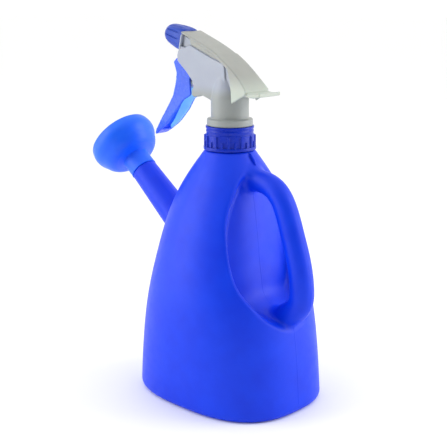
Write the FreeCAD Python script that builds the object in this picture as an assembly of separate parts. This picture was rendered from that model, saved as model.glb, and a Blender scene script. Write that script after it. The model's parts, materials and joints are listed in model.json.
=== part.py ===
"""Trigger spray bottle with a loop handle, a front spout and a watering rose.

Millimetres. +Z is up. The origin is on the ground, under the neck's axis, in the middle of the foot.
The bottle sprays and pours towards -Y, the handle is on the +Y side, and X = 0 is the mirror plane.
Each node is written to parts/NODE.step.
"""

import FreeCAD, Part
import math
import os

from FreeCAD import Vector

# ---------------------------------------------------------------- driving dimensions

WALL = 1.2  # blow-moulded wall of the bottle

# bottle body before its bottom edge is rounded: height, half length along Y, half width along X,
# superellipse exponent
BODY_PROFILE = [
    (0.0, 61.7, 49.0, 2.65),
    (40.0, 58.6, 50.6, 2.4),
    (70.0, 54.0, 49.4, 2.28),
    (100.0, 47.4, 44.2, 2.15),
    (130.0, 37.8, 35.1, 2.1),
    (150.0, 26.8, 25.3, 2.05),
    (164.6, 16.1, 16.1, 2.0),
]
BODY_LEVELS = [0, 0.7, 2, 4, 7, 14, 26, 40, 55, 70, 84, 97, 109, 120, 130, 139, 147, 153, 159, 164.6]
BOTTOM_EDGE_R = 7.0
FOOT_RECESS = 3.0  # push-up of the base inside the foot ring
FOOT_RING = 9.0  # width of the ring that the bottle stands on

# threaded neck, a 28 mm finish with six turns an inch
NECK_BASE_Z = 160.0
NECK_TOP_Z = 176.3
NECK_ROOT_R = 12.45
NECK_CREST_R = 13.7
NECK_BORE_R = 10.75
THREAD_PITCH = 4.233
THREAD_START_Z = 167.6
THREAD_TURNS = 1.4
THREAD_GAP = 0.3
THREAD_FLANK_GAP = 0.35

# recess behind the finger gap: height, floor on the mirror plane, half width
RECESS_SECTIONS = [
    (54.5, 56.5, 3.0),
    (57.5, 53.5, 10.5),
    (62.4, 46.5, 17.7),
    (67.7, 37.5, 23.6),
    (73.8, 31.0, 28.0),
    (79.6, 29.2, 31.3),
    (86.3, 28.2, 33.4),
    (94.6, 26.9, 34.0),
    (103.5, 25.9, 33.5),
    (112.3, 24.8, 32.3),
    (121.0, 23.6, 30.5),
    (129.7, 22.3, 27.6),
    (144.0, 19.9, 19.6),
    (150.7, 18.6, 14.2),
    (157.0, 17.4, 6.0),
]
RECESS_FLOOR_R = 160.0  # the floor's sideways curve
RECESS_BACK_Y = 90.0

# loop handle: centre line on the mirror plane (y, z) and tube radii
HANDLE_LINE = [
    (8.0, 151.5),
    (19.0, 149.6),
    (29.6, 148.0),
    (40.6, 143.2),
    (48.5, 132.8),
    (54.5, 117.5),
    (59.2, 101.5),
    (61.8, 84.5),
    (60.6, 73.0),
    (52.0, 64.5),
    (40.0, 56.0),
]
HANDLE_TOP_R = 6.9
HANDLE_LOW_R = 8.1
HANDLE_SECTIONS = 22

# spout and rose, on one sloping axis in the mirror plane
SPOUT_POINT = (-85.6, 141.9)
SPOUT_ANGLE = 39.1
SPOUT_R = 9.2
SPOUT_TAPER = 0.035
SPOUT_JOINT_T = -3.0
SPOUT_ROOT_T = -70.0
SPIGOT_R = 7.9
SPIGOT_END_T = 7.5
SPIGOT_BORE_R = 6.7
SLEEVE_R = 9.45
SLEEVE_FIT = 0.05
ROSE_RIM_T = 29.56
ROSE_RIM_R = 23.0
ROSE_DEPTH = 20.8
ROSE_POWER = 3.0
ROSE_WALL = 1.5
ROSE_FACE_WALL = 1.4
ROSE_FACE_BULGE = 3.2
ROSE_HOLE_R = 0.75
ROSE_HOLE_RINGS = 4
ROSE_HOLE_STEP = 4.1
ROSE_STOP = 1.6  # shoulder inside the sleeve that stops it on the spigot's end
JOINT_GAP = 0.1  # between the spout and the sleeve

# closure cap
CAP_BOTTOM_Z = 165.0
CAP_TOP_Z = 180.1
CAP_RING_R = 17.0
CAP_RING_TOP_Z = 167.0
CAP_BAND_R = 15.75
CAP_RIB_R = 16.7
CAP_RIB_TOP_Z = 174.6
CAP_SHORT_RIB_TOP_Z = 170.8
CAP_UPPER_R = 15.2
CAP_LIP_R = 15.6
CAP_WEB_Z = 178.65
CAP_WEB_BORE_R = 10.4
CAP_RIBS = 24
CAP_RIB_WIDTH = 1.3
CAP_FIRST_RIB = 40.7

# sprayer column
COLLAR_R = 14.8
COLLAR_Z = 180.2
COLLAR_TOP_Z = 184.6
COLUMN_R = 12.2
COLUMN_WALL = 1.8
SPIGOT_COLUMN_R = 10.25
PLUG_R = 9.0
PLUG_TOP_Z = 188.0
CORE_R = 5.3
CORE_TOP_Z = 216.6
BULGE_BASE_Z = 197.5
BULGE_TOP_Z = 211.5

# sprayer head
CHEEK_X = 9.0
CHEEK_WALL = 1.8
ROOF_WALL = 1.4
BAND_X = 8.2
WING_X = 12.2
SHROUD_WALL = 1.3
REAR_ROOF_X = 9.8
TAB_X = 9.9
PUMP_Z = 205.0
PUMP_FRONT_Y = -21.5
PUMP_BACK_Y = -3.6
PUMP_BORE_R = 5.6
PUMP_R = 7.1
DISCHARGE_R = 2.8
DISCHARGE_BORE_R = 1.3
RISER_BORE_R = 1.5
VALVE_BORE_R = 2.9
VALVE_SEAT_Z = 209.0
PLUG_HEAD_R = 3.6
PLATE_CENTRE = (-36.6, 232.3)
PLATE_TILT = 14.0
PLATE_SIZE = (18.0, 10.9)
PLATE_DROP = 0.75  # the plate's middle lies this far below the nozzle's axis
PLATE_WALL = 1.4
POST_R = 4.6
POST_BORE_R = 2.6
POST_LENGTH = 13.0
NOZZLE_LENGTH = 19.9
NOZZLE_GAP = 0.4

# trigger
PIVOT_Y = -33.0
PIVOT_Z = 221.0
TRUNNION_R = 2.0
PIVOT_FIT = 0.05
BOSS_R = 3.6
TRIGGER_WALL = 1.4
TRIGGER_X = 5.3

# pump plunger and valves
PLUNGER_R = 3.4
PLUNGER_BORE_R = 2.7
PLUNGER_FRONT_Y = -42.5
PLUNGER_BACK_Y = -11.0
PISTON_R = 5.1
SEAL_Y = PLUNGER_BACK_Y - 2.5
WIPER_Y = PLUNGER_BACK_Y - 6.5
GROOVE_WIDTH = 1.5
GROOVE_R = 4.2
SEAL_FIT = 0.04
SPRING_R = 2.2
SPRING_WIRE_R = 0.35
SPRING_FRONT_Y = -31.0
SPRING_COILS = 12
BALL_R = 2.3
TUBE_R = 2.0
TUBE_BORE_R = 1.35
TUBE_BOTTOM_Z = 7.0
TUBE_TOP_Z = 183.0

AXIS_X = Vector(1, 0, 0)
AXIS_Y = Vector(0, 1, 0)
AXIS_Z = Vector(0, 0, 1)
ORIGIN = Vector(0, 0, 0)


# ---------------------------------------------------------------- helpers


def cylinder(radius, z0, z1):
    """A cylinder on the neck's axis."""
    return Part.makeCylinder(radius, z1 - z0, Vector(0, 0, z0), AXIS_Z)


def ring(outer, inner, z0, z1):
    """A tube on the neck's axis."""
    return cylinder(outer, z0, z1).cut(cylinder(inner, z0 - 1, z1 + 1))


def rod(radius, start, end):
    """A cylinder between two points."""
    way = end - start
    return Part.makeCylinder(radius, way.Length, start, way)


def box(x0, x1, y0, y1, z0, z1):
    return Part.makeBox(x1 - x0, y1 - y0, z1 - z0, Vector(x0, y0, z0))


def turned(profile):
    """The solid of a closed (radius, height) profile turned about +Z."""
    points = [Vector(r, 0, h) for r, h in profile]
    face = Part.Face(Part.makePolygon(points + points[:1]))
    return face.revolve(ORIGIN, AXIS_Z, 360)


def aimed(shape, y, z, angle):
    """Moves a shape made about +Z so that its axis leaves (y, z) towards -Y, angle above the ground."""
    moved = shape.copy()
    moved.Placement = FreeCAD.Placement(Vector(0, y, z), FreeCAD.Rotation(AXIS_X, 90 - angle))
    return moved


def plate_x(wire, half_width):
    """The prism of a wire in the YZ plane, as wide as half_width each side of the mirror plane."""
    face = Part.Face(wire)
    face.translate(Vector(-half_width, 0, 0))
    return face.extrude(Vector(2 * half_width, 0, 0))


def rounded(points, radius):
    """A closed outline in the YZ plane, whose corners have the given radius where they have room."""
    corners = [Vector(0, y, z) for y, z in points]
    edges = []
    ends = []
    for i, corner in enumerate(corners):
        before = corners[i - 1] - corner
        after = corners[(i + 1) % len(corners)] - corner
        angle = before.getAngle(after)
        reach = radius / math.tan(angle / 2)
        reach = min(reach, 0.45 * before.Length, 0.45 * after.Length)
        start = corner + before.normalize() * reach
        end = corner + after.normalize() * reach
        middle_way = (before + after).normalize()
        true_radius = reach * math.tan(angle / 2)
        depth = true_radius / math.sin(angle / 2) - true_radius
        ends.append((start, corner + middle_way * depth, end))
    for i, (start, middle, end) in enumerate(ends):
        edges.append(Part.LineSegment(ends[i - 1][2], start).toShape())
        edges.append(Part.Arc(start, middle, end).toShape())
    return Part.Wire(edges)


def spline_outline(curve_points, corner_points):
    """A closed outline in the YZ plane: one smooth curve, closed by straight runs through the corners."""
    curve = Part.BSplineCurve()
    curve.interpolate([Vector(0, y, z) for y, z in curve_points])
    corners = [Vector(0, y, z) for y, z in [curve_points[-1], *corner_points, curve_points[0]]]
    edges = [curve.toShape()]
    for start, end in zip(corners, corners[1:]):
        edges.append(Part.LineSegment(start, end).toShape())
    return Part.Wire(edges)


def oval(half_x, half_y, exponent, height, count=32):
    """A closed superellipse at a height."""
    points = []
    for i in range(count):
        t = 2 * math.pi * (i + 0.5) / count
        c, s = math.cos(t), math.sin(t)
        x = half_x * math.copysign(abs(c) ** (2 / exponent), c)
        y = half_y * math.copysign(abs(s) ** (2 / exponent), s)
        points.append(Vector(x, y, height))
    curve = Part.BSplineCurve()
    curve.interpolate(points, True)
    return Part.Wire(curve.toShape())


def helix_bead(root_r, crest_r, z0, turns, inward=False):
    """A helical thread bead: 2.4 wide at its root, 1.0 at its crest, sunk a little into its wall."""
    sign = -1 if inward else 1
    sunk = root_r - sign * 0.4
    helix = Part.makeHelix(THREAD_PITCH, THREAD_PITCH * turns, root_r)
    helix.translate(Vector(0, 0, z0))
    corners = [
        Vector(sunk, 0, z0 - 1.3),
        Vector(crest_r, 0, z0 - 0.5),
        Vector(crest_r, 0, z0 + 0.5),
        Vector(sunk, 0, z0 + 1.3),
    ]
    section = Part.makePolygon(corners + corners[:1])
    return Part.Wire(helix.Edges).makePipeShell([section], True, True)


def save(name, shape):
    solids = shape.Solids
    for solid in solids:
        if not solid.isValid():
            print("NOT VALID", name)
    shape = solids[0] if len(solids) == 1 else Part.makeCompound(solids)
    shape.exportStep("parts/" + name + ".step")
    print(f"{name:16s} solids {len(solids)} volume {shape.Volume / 1000:8.2f} cm3")


# ---------------------------------------------------------------- bottle


def body_size(z):
    """Half width, half length and exponent of the body at a height, read from a smooth curve."""
    inside = min(max(z, 0.001), BODY_PROFILE[-1][0] - 0.001)
    level = Part.LineSegment(Vector(inside, -1, 0), Vector(inside, 99, 0))
    values = []
    for column in (2, 1, 3):
        curve = Part.BSplineCurve()
        curve.interpolate([Vector(row[0], row[column], 0) for row in BODY_PROFILE])
        values.append(curve.intersectCC(level)[0].Y)
    rounding = 0.0
    if z < BOTTOM_EDGE_R:
        rounding = BOTTOM_EDGE_R - math.sqrt(BOTTOM_EDGE_R**2 - (BOTTOM_EDGE_R - z) ** 2)
    return values[0] - rounding, values[1] - rounding, values[2]


def body_volume(inset):
    """The bottle's body without recess, drawn in by the inset on every side."""
    top = BODY_LEVELS[-1]
    wires = []
    for level in BODY_LEVELS:
        half_x, half_y, exponent = body_size(level)
        slope = (body_size(max(level - 2, 0))[1] - body_size(min(level + 2, top))[1]) / 4
        side = inset * math.sqrt(1 + slope**2) if level > BOTTOM_EDGE_R else inset
        z = inset + level * (top - 2 * inset) / top
        wires.append(oval(half_x - side, half_y - side, exponent, z))
    return Part.makeLoft(wires, True, True)


def recess_volume(outset):
    """The space behind the finger gap, grown by the outset: sections stacked in height."""
    wires = []
    last = len(RECESS_SECTIONS) - 1
    for i, (z, floor, half) in enumerate(RECESS_SECTIONS):
        half = half + outset
        z = z + (outset if i == last else -outset if i == 0 else 0)
        floor = floor - outset
        side = floor - half * half / (2 * RECESS_FLOOR_R)
        left = Vector(-half, side, z)
        right = Vector(half, side, z)
        back_left = Vector(-half, RECESS_BACK_Y, z)
        back_right = Vector(half, RECESS_BACK_Y, z)
        edges = [
            Part.Arc(left, Vector(0, floor, z), right).toShape(),
            Part.LineSegment(right, back_right).toShape(),
            Part.LineSegment(back_right, back_left).toShape(),
            Part.LineSegment(back_left, left).toShape(),
        ]
        wires.append(Part.Wire(edges))
    return Part.makeLoft(wires, True, True)


def handle_volume(inset):
    """The loop handle: round sections lofted along its line, thicker at the low end."""
    line = Part.BSplineCurve()
    line.interpolate([Vector(0, y, z) for y, z in HANDLE_LINE])
    sections = []
    for i in range(HANDLE_SECTIONS):
        share = i / (HANDLE_SECTIONS - 1)
        parameter = line.FirstParameter + share * (line.LastParameter - line.FirstParameter)
        way = line.tangent(parameter)[0]
        tilt = math.degrees(math.atan2(-way.y, way.z))
        radius = HANDLE_TOP_R + share * (HANDLE_LOW_R - HANDLE_TOP_R) - inset
        circle = Part.Wire(Part.Circle(ORIGIN, AXIS_Z, radius).toShape())
        circle.Placement = FreeCAD.Placement(line.value(parameter), FreeCAD.Rotation(AXIS_X, tilt))
        sections.append(circle)
    return Part.makeLoft(sections, True, True)


def spout_volume(inset):
    """The moulded spout tube up to the joint with the rose's sleeve."""
    root_r = SPOUT_R + SPOUT_TAPER * (SPOUT_JOINT_T - SPOUT_ROOT_T)
    length = SPOUT_JOINT_T - SPOUT_ROOT_T - inset
    cone = Part.makeCone(root_r - inset, SPOUT_R - inset, length, Vector(0, 0, SPOUT_ROOT_T), AXIS_Z)
    return aimed(cone, *SPOUT_POINT, SPOUT_ANGLE)


def on_spout(shape):
    return aimed(shape, *SPOUT_POINT, SPOUT_ANGLE)


def make_bottle():
    outer = body_volume(0).cut(recess_volume(0))
    outer = outer.fuse(handle_volume(0))
    outer = outer.fuse(spout_volume(0))
    outer = outer.fuse(on_spout(cylinder(SPIGOT_R, SPOUT_JOINT_T - 1, SPIGOT_END_T)))
    outer = outer.fuse(cylinder(NECK_ROOT_R, NECK_BASE_Z, NECK_TOP_Z))
    bead = helix_bead(NECK_ROOT_R, NECK_CREST_R, THREAD_START_Z, THREAD_TURNS)
    outer = outer.fuse(bead)
    inner = body_volume(WALL).cut(recess_volume(WALL))
    inner = inner.fuse(handle_volume(WALL))
    inner = inner.fuse(spout_volume(WALL))
    inner = inner.fuse(on_spout(cylinder(SPIGOT_BORE_R, SPOUT_JOINT_T - 6, SPIGOT_END_T + 1)))
    inner = inner.fuse(cylinder(NECK_BORE_R, NECK_BASE_Z - 2, NECK_TOP_Z + 1))
    half_x, half_y, exponent = body_size(0)
    half_x -= FOOT_RING
    half_y -= FOOT_RING
    push_up = Part.makeLoft(
        [
            oval(half_x, half_y, exponent, -1.0),
            oval(half_x - 4, half_y - 4, exponent, FOOT_RECESS),
        ],
        True,
        True,
    )
    dome = Part.makeLoft(
        [
            oval(half_x + WALL, half_y + WALL, exponent, -1.0),
            oval(half_x - 4 + WALL, half_y - 4 + WALL, exponent, FOOT_RECESS + WALL),
        ],
        True,
        True,
    )
    outer = outer.cut(push_up)
    inner = inner.cut(dome)
    return outer.cut(inner)


# ---------------------------------------------------------------- rose


def rose_profile(inset):
    """(radius, distance along the axis) from the sleeve to the rim."""
    points = []
    for i in range(13):
        q = 1 - i / 12
        bulge = (1 - q**ROSE_POWER) ** (1 / ROSE_POWER)
        radius = SPOUT_R + (ROSE_RIM_R - SPOUT_R) * bulge
        points.append((radius - inset, ROSE_RIM_T - ROSE_DEPTH * q))
    return points


def make_rose_shell():
    bore = SPIGOT_R + SLEEVE_FIT
    throat_r = bore - ROSE_STOP
    start = SPOUT_JOINT_T + JOINT_GAP
    profile = [(SLEEVE_R, start), (SLEEVE_R, ROSE_RIM_T - ROSE_DEPTH)]
    profile += rose_profile(0)[1:]
    profile += rose_profile(ROSE_WALL)[:0:-1]
    profile += [
        (throat_r, ROSE_RIM_T - ROSE_DEPTH + 1.2),
        (throat_r, SPIGOT_END_T + 0.3),
        (bore, SPIGOT_END_T + 0.3),
        (bore, start),
    ]
    return on_spout(turned(profile))


def make_rose_face():
    """A shallow domed disc inside the rim, with rings of holes."""
    edge_r = ROSE_RIM_R - ROSE_WALL - 0.02
    bulge_r = (edge_r**2 + ROSE_FACE_BULGE**2) / (2 * ROSE_FACE_BULGE)
    centre_t = ROSE_RIM_T - ROSE_FACE_WALL + ROSE_FACE_BULGE - bulge_r
    outside = Part.makeSphere(bulge_r + ROSE_FACE_WALL, Vector(0, 0, centre_t))
    inside = Part.makeSphere(bulge_r, Vector(0, 0, centre_t))
    disc = outside.cut(inside).common(cylinder(edge_r, ROSE_RIM_T - ROSE_FACE_WALL - 0.4, ROSE_RIM_T + 9))
    holes = []
    for number in range(ROSE_HOLE_RINGS + 1):
        count = max(1, 6 * number)
        for i in range(count):
            angle = 2 * math.pi * i / count
            radius = ROSE_HOLE_STEP * number
            centre = Vector(radius * math.cos(angle), radius * math.sin(angle), ROSE_RIM_T - 5)
            holes.append(Part.makeCylinder(ROSE_HOLE_R, 15, centre, AXIS_Z))
    return on_spout(disc.cut(Part.makeCompound(holes)))


# ---------------------------------------------------------------- closure


def make_closure_cap():
    profile = [
        (NECK_CREST_R + THREAD_GAP, CAP_BOTTOM_Z),
        (CAP_RING_R - 0.4, CAP_BOTTOM_Z),
        (CAP_RING_R, CAP_BOTTOM_Z + 0.4),
        (CAP_RING_R, CAP_RING_TOP_Z - 0.3),
        (CAP_BAND_R, CAP_RING_TOP_Z),
        (CAP_BAND_R, CAP_RIB_TOP_Z),
        (CAP_UPPER_R, CAP_RIB_TOP_Z + 0.4),
        (CAP_UPPER_R, CAP_TOP_Z - 1.6),
        (CAP_LIP_R, CAP_TOP_Z - 1.3),
        (CAP_LIP_R, CAP_TOP_Z - 0.3),
        (CAP_LIP_R - 0.3, CAP_TOP_Z),
        (CAP_WEB_BORE_R, CAP_TOP_Z),
        (CAP_WEB_BORE_R, CAP_WEB_Z),
        (NECK_CREST_R + THREAD_GAP, CAP_WEB_Z),
    ]
    cap = turned(profile)
    reach = CAP_RIB_R - CAP_BAND_R + 0.6
    for i in range(CAP_RIBS):
        top = CAP_RIB_TOP_Z if i % 2 == 0 else CAP_SHORT_RIB_TOP_Z
        low = CAP_RING_TOP_Z - 0.5
        rib = box(CAP_RIB_R - reach, CAP_RIB_R, -CAP_RIB_WIDTH / 2, CAP_RIB_WIDTH / 2, low, top)
        rib.rotate(ORIGIN, AXIS_Z, CAP_FIRST_RIB + 360 * i / CAP_RIBS)
        cap = cap.fuse(rib)
    start = THREAD_START_Z - THREAD_PITCH / 2 + THREAD_FLANK_GAP
    bead = helix_bead(NECK_CREST_R + THREAD_GAP, NECK_ROOT_R + THREAD_GAP, start, THREAD_TURNS, True)
    return cap.fuse(bead)


def make_neck_gasket():
    return ring(NECK_ROOT_R + 0.1, 9.6, NECK_TOP_Z + 0.03, 177.2)


def make_tube_retainer():
    """Plug pressed up into the column: its flange traps the cap, its bore holds the dip tube."""
    profile = [
        (TUBE_R + 0.02, 170.0),
        (TUBE_R + 1.3, 170.0),
        (TUBE_R + 1.5, 172.0),
        (TUBE_R + 1.5, 177.2),
        (NECK_ROOT_R + 0.1, 177.2),
        (NECK_ROOT_R + 0.1, 178.4),
        (PLUG_R - 0.02, 178.4),
        (PLUG_R - 0.02, 187.0),
        (PLUG_R - 0.8, PLUG_TOP_Z),
        (BALL_R + 0.5, PLUG_TOP_Z),
        (BALL_R + 0.5, 186.2),
        (TUBE_BORE_R, 184.4),
        (TUBE_BORE_R, TUBE_TOP_Z),
        (TUBE_R + 0.02, TUBE_TOP_Z),
    ]
    return turned(profile)


def make_dip_tube():
    tube = ring(TUBE_R, TUBE_BORE_R, TUBE_BOTTOM_Z, TUBE_TOP_Z - 0.05)
    slant = box(-5, 5, -5, 5, -6, 0)
    slant.rotate(ORIGIN, AXIS_X, 35)
    slant.translate(Vector(0, 0, TUBE_BOTTOM_Z))
    return tube.cut(slant)


def seated_ball(bore, cone_low_z, cone_high_z, cone_high_r, centre_gap=0.02):
    """A ball resting in a conical seat that opens from the bore."""
    run = cone_high_r - bore
    rise = cone_high_z - cone_low_z
    slope = math.atan2(rise, run)
    centre_z = cone_low_z + (BALL_R + centre_gap) / math.cos(slope) - bore * math.tan(slope)
    return Part.makeSphere(BALL_R, Vector(0, 0, centre_z))


def make_inlet_ball():
    return seated_ball(TUBE_BORE_R, 184.4, 186.2, BALL_R + 0.5)


# ---------------------------------------------------------------- sprayer housing

CHEEK_OUTLINE = [
    (-38.2, 226.0),
    (-39.2, 222.4),
    (-38.8, 219.2),
    (-30.2, 212.2),
    (-24.9, 206.7),
    (-23.5, 204.2),
    (-25.6, 201.2),
    (-25.9, 198.0),
    (-23.8, 196.9),
    (-19.6, 197.4),
    (-16.0, 198.4),
    (-9.0, 196.2),
    (4.5, 196.2),
    (4.5, 206.0),
    (3.0, 219.4),
    (-8.9, 222.9),
    (-27.3, 229.8),
]
BACKING_OUTLINE = [(2.0, 205.5), (9.5, 204.0), (6.5, 213.5), (3.0, 217.5)]  # behind the cheeks' rear edge
BACKING_X = (6.3, 7.4)


def on_nozzle(shape):
    return aimed(shape, *PLATE_CENTRE, PLATE_TILT)


def side_pair(outline, x0, x1):
    """Two mirrored plates between x0 and x1 from the mirror plane."""
    slab = plate_x(outline, x1)
    return slab.cut(box(-x0, x0, -200, 200, 0, 300))


def front_plate():
    width, height = PLATE_SIZE
    corner = 1.6
    low = -height / 2 - PLATE_DROP
    plate = box(-width / 2, width / 2, low, low + height, -PLATE_WALL, 0)
    upright = [e for e in plate.Edges if abs(e.tangentAt(e.FirstParameter).z) > 0.9]
    return on_nozzle(plate.makeFillet(corner, upright))


def make_pump_housing():
    column = turned(
        [
            (PLUG_R, 178.45),
            (SPIGOT_COLUMN_R, 178.45),
            (SPIGOT_COLUMN_R, COLLAR_Z),
            (COLLAR_R, COLLAR_Z),
            (COLLAR_R, COLLAR_TOP_Z - 0.4),
            (COLLAR_R - 0.4, COLLAR_TOP_Z),
            (COLUMN_R, COLLAR_TOP_Z),
            (COLUMN_R, BULGE_BASE_Z),
            (COLUMN_R - 0.9, BULGE_BASE_Z + 6.5),
            (CHEEK_X - 0.2, BULGE_TOP_Z),
            (CHEEK_X - 0.2 - COLUMN_WALL, BULGE_TOP_Z),
            (COLUMN_R - 0.9 - COLUMN_WALL, BULGE_BASE_Z + 6.5),
            (COLUMN_R - COLUMN_WALL, BULGE_BASE_Z),
            (COLUMN_R - COLUMN_WALL, PLUG_TOP_Z + 2.5),
            (CORE_R, PLUG_TOP_Z + 2.5),
            (CORE_R, PLUG_TOP_Z + 0.2),
            (PLUG_R, PLUG_TOP_Z + 0.2),
        ]
    )
    cheeks = side_pair(rounded(CHEEK_OUTLINE, 1.2), CHEEK_X - CHEEK_WALL, CHEEK_X)
    cheeks = cheeks.cut(cylinder(COLUMN_R - COLUMN_WALL, 190, BULGE_BASE_Z + 3))
    backing = side_pair(rounded(BACKING_OUTLINE, 0.6), *BACKING_X)
    core = cylinder(CORE_R, PLUG_TOP_Z + 0.2, CORE_TOP_Z)
    pump = rod(PUMP_R, Vector(0, PUMP_FRONT_Y, PUMP_Z), Vector(0, PUMP_BACK_Y + 1.6, PUMP_Z))
    web = box(-CHEEK_X + 0.5, CHEEK_X - 0.5, PUMP_FRONT_Y, -5, PUMP_Z - 0.7, PUMP_Z + 0.7)
    start = Vector(0, -1.0, 213.4)
    end = Vector(0, PLATE_CENTRE[0] + 0.6, PLATE_CENTRE[1] - 0.2)
    discharge = rod(DISCHARGE_R, start, end)
    bosses = []
    for side in (-1, 1):
        inner_end = Vector(side * (CHEEK_X - CHEEK_WALL - 0.9), PIVOT_Y, PIVOT_Z)
        bosses.append(rod(BOSS_R, inner_end, Vector(side * CHEEK_X, PIVOT_Y, PIVOT_Z)))
    bridge = box(-CHEEK_X + 0.6, CHEEK_X - 0.6, -27.0, -24.0, 224.2, 226.4)
    plate_foot = box(-CHEEK_X + 0.6, CHEEK_X - 0.6, -37.0, -33.2, 226.0, 228.4)
    post = on_nozzle(cylinder(POST_R, -0.5, POST_LENGTH))
    inner_parts = [core, pump, web, discharge, post, bridge, plate_foot]
    housing = column.fuse([cheeks, backing, front_plate(), *inner_parts, *bosses])
    ball_room = cylinder(BALL_R + 0.5, PLUG_TOP_Z - 1, PLUG_TOP_Z + 2.0)
    riser = cylinder(RISER_BORE_R, PLUG_TOP_Z, CORE_TOP_Z)
    ball_slots = box(-BALL_R - 0.5, BALL_R + 0.5, -0.6, 0.6, PLUG_TOP_Z, PLUG_TOP_Z + 3.2)
    valve_room = turned(
        [
            (0, VALVE_SEAT_Z - 1.8),
            (RISER_BORE_R, VALVE_SEAT_Z - 1.8),
            (VALVE_BORE_R, VALVE_SEAT_Z),
            (VALVE_BORE_R, CORE_TOP_Z + 1),
            (0, CORE_TOP_Z + 1),
        ]
    )
    bore = rod(PUMP_BORE_R, Vector(0, PUMP_FRONT_Y - 1, PUMP_Z), Vector(0, PUMP_BACK_Y, PUMP_Z))
    port = rod(1.2, Vector(0, PUMP_BACK_Y - 1, PUMP_Z - 3), Vector(0, 0, PUMP_Z - 3))
    way_out = rod(DISCHARGE_BORE_R, start + Vector(0, -0.5, 0), end)
    post_bore = on_nozzle(cylinder(POST_BORE_R, -1.0, POST_LENGTH + 1))
    plug_seat = cylinder(PLUG_HEAD_R + 0.1, CORE_TOP_Z, CORE_TOP_Z + 3)
    sockets = rod(
        TRUNNION_R + PIVOT_FIT,
        Vector(-CHEEK_X + 0.6, PIVOT_Y, PIVOT_Z),
        Vector(CHEEK_X - 0.6, PIVOT_Y, PIVOT_Z),
    )
    riser_voids = [ball_room, riser, ball_slots, valve_room, plug_seat]
    pump_voids = [bore, port, way_out, post_bore]
    return housing.cut([*riser_voids, *pump_voids, sockets])


# ---------------------------------------------------------------- shroud

ROOF_LINE = [(-35.1, 238.4), (-17.8, 231.8), (-2.8, 224.9), (11.0, 215.6), (22.9, 204.6)]
SHROUD_SIDE = [
    (23.4, 202.0),
    (17.2, 198.6),
    (12.2, 195.7),
    (10.9, 202.5),
    (9.0, 208.6),
    (6.4, 215.2),
    (3.9, 219.7),
]
BAND_EDGE = [(-8.75, 223.1), (-27.25, 230.0)]


def widths(top, low, z_top, z_low):
    """A slab seen from the front: half width top above z_top, flaring to low at z_low."""
    points = [
        Vector(-low, -60, z_low),
        Vector(low, -60, z_low),
        Vector(top, -60, z_top),
        Vector(top, -60, 245),
        Vector(-top, -60, 245),
        Vector(-top, -60, z_top),
    ]
    return Part.Face(Part.makePolygon(points + points[:1])).extrude(Vector(0, 120, 0))


def make_shroud():
    under = [(y, z - ROOF_WALL) for y, z in ROOF_LINE]
    roof = spline_outline(ROOF_LINE, under[::-1])
    roof = plate_x(roof, CHEEK_X)
    shell_line = spline_outline(ROOF_LINE, SHROUD_SIDE + BAND_EDGE + [(-28.3, 234.0)])
    shell = plate_x(shell_line, 20)
    hollow_line = [(y - 0.7, z - SHROUD_WALL) for y, z in ROOF_LINE]
    hollow_line[-1] = (21.2, 204.6)
    hollow = plate_x(spline_outline(hollow_line, [(21.2, 190.0), (-45.0, 190.0), (-45.0, 236.0)]), 20)
    outside = widths(BAND_X, WING_X, 222.5, 195.0)
    inside = widths(BAND_X - SHROUD_WALL, WING_X - SHROUD_WALL, 222.5, 195.0)
    walls = shell.common(outside)
    walls = walls.cut(hollow.common(inside))
    rear_under = [(22.0, 202.4), (20.6, 204.0), (9.6, 214.4), (-3.6, 223.2)]
    rear_roof = plate_x(spline_outline(ROOF_LINE[2:], rear_under), REAR_ROOF_X)
    tab = spline_outline(
        [(33.9, 203.5), (28.5, 202.7), (22.0, 203.2), (14.6, 203.6)],
        [(14.6, 200.9), (22.0, 200.4), (28.5, 200.0), (33.9, 201.0)],
    )
    shroud = roof.fuse([walls, rear_roof, plate_x(tab, TAB_X)])
    return shroud.cut(cylinder(COLUMN_R + 0.25, 190, 207))


# ---------------------------------------------------------------- trigger

TRIGGER_OUTLINE = [
    (-30.2, 224.4),
    (-35.0, 224.6),
    (-41.6, 222.0),
    (-46.4, 218.2),
    (-43.7, 211.2),
    (-44.5, 205.0),
    (-47.3, 196.0),
    (-52.0, 187.5),
    (-58.2, 178.4),
    (-67.2, 167.2),
    (-63.0, 168.9),
    (-53.2, 175.9),
    (-43.8, 185.2),
    (-37.0, 193.6),
    (-30.6, 197.2),
    (-31.4, 207.0),
    (-29.4, 217.0),
]
TRIGGER_HOLLOW = [
    (-41.0, 216.5),
    (-42.2, 211.0),
    (-42.9, 205.0),
    (-45.6, 196.4),
    (-50.3, 188.0),
    (-56.3, 179.0),
    (-61.4, 172.4),
    (-50.0, 170.0),
    (-20.0, 190.0),
    (-20.0, 214.0),
    (-36.5, 216.5),
]
TRIGGER_HALF_WIDTHS = [
    (167.5, 4.2),
    (171.5, 6.0),
    (178.0, 6.9),
    (186.0, 6.7),
    (196.0, TRIGGER_X),
    (230.0, TRIGGER_X),
]


def trigger_width(inset):
    """The trigger's front view, pushed through along Y."""
    right = [Vector(half - inset, -90, z) for z, half in TRIGGER_HALF_WIDTHS]
    left = [Vector(inset - half, -90, z) for z, half in reversed(TRIGGER_HALF_WIDTHS)]
    points = right + left
    return Part.Face(Part.makePolygon(points + points[:1])).extrude(Vector(0, 90, 0))


def make_trigger():
    lever = plate_x(rounded(TRIGGER_OUTLINE, 1.6), 12).common(trigger_width(0))
    hollow = plate_x(rounded(TRIGGER_HOLLOW, 1.0), 12).common(trigger_width(TRIGGER_WALL))
    pin = rod(TRUNNION_R, Vector(-8.2, PIVOT_Y, PIVOT_Z), Vector(8.2, PIVOT_Y, PIVOT_Z))
    shoulder = rod(3.4, Vector(-6.0, PIVOT_Y, PIVOT_Z), Vector(6.0, PIVOT_Y, PIVOT_Z))
    return lever.cut(hollow).fuse([pin, shoulder])


# ---------------------------------------------------------------- pump


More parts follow.
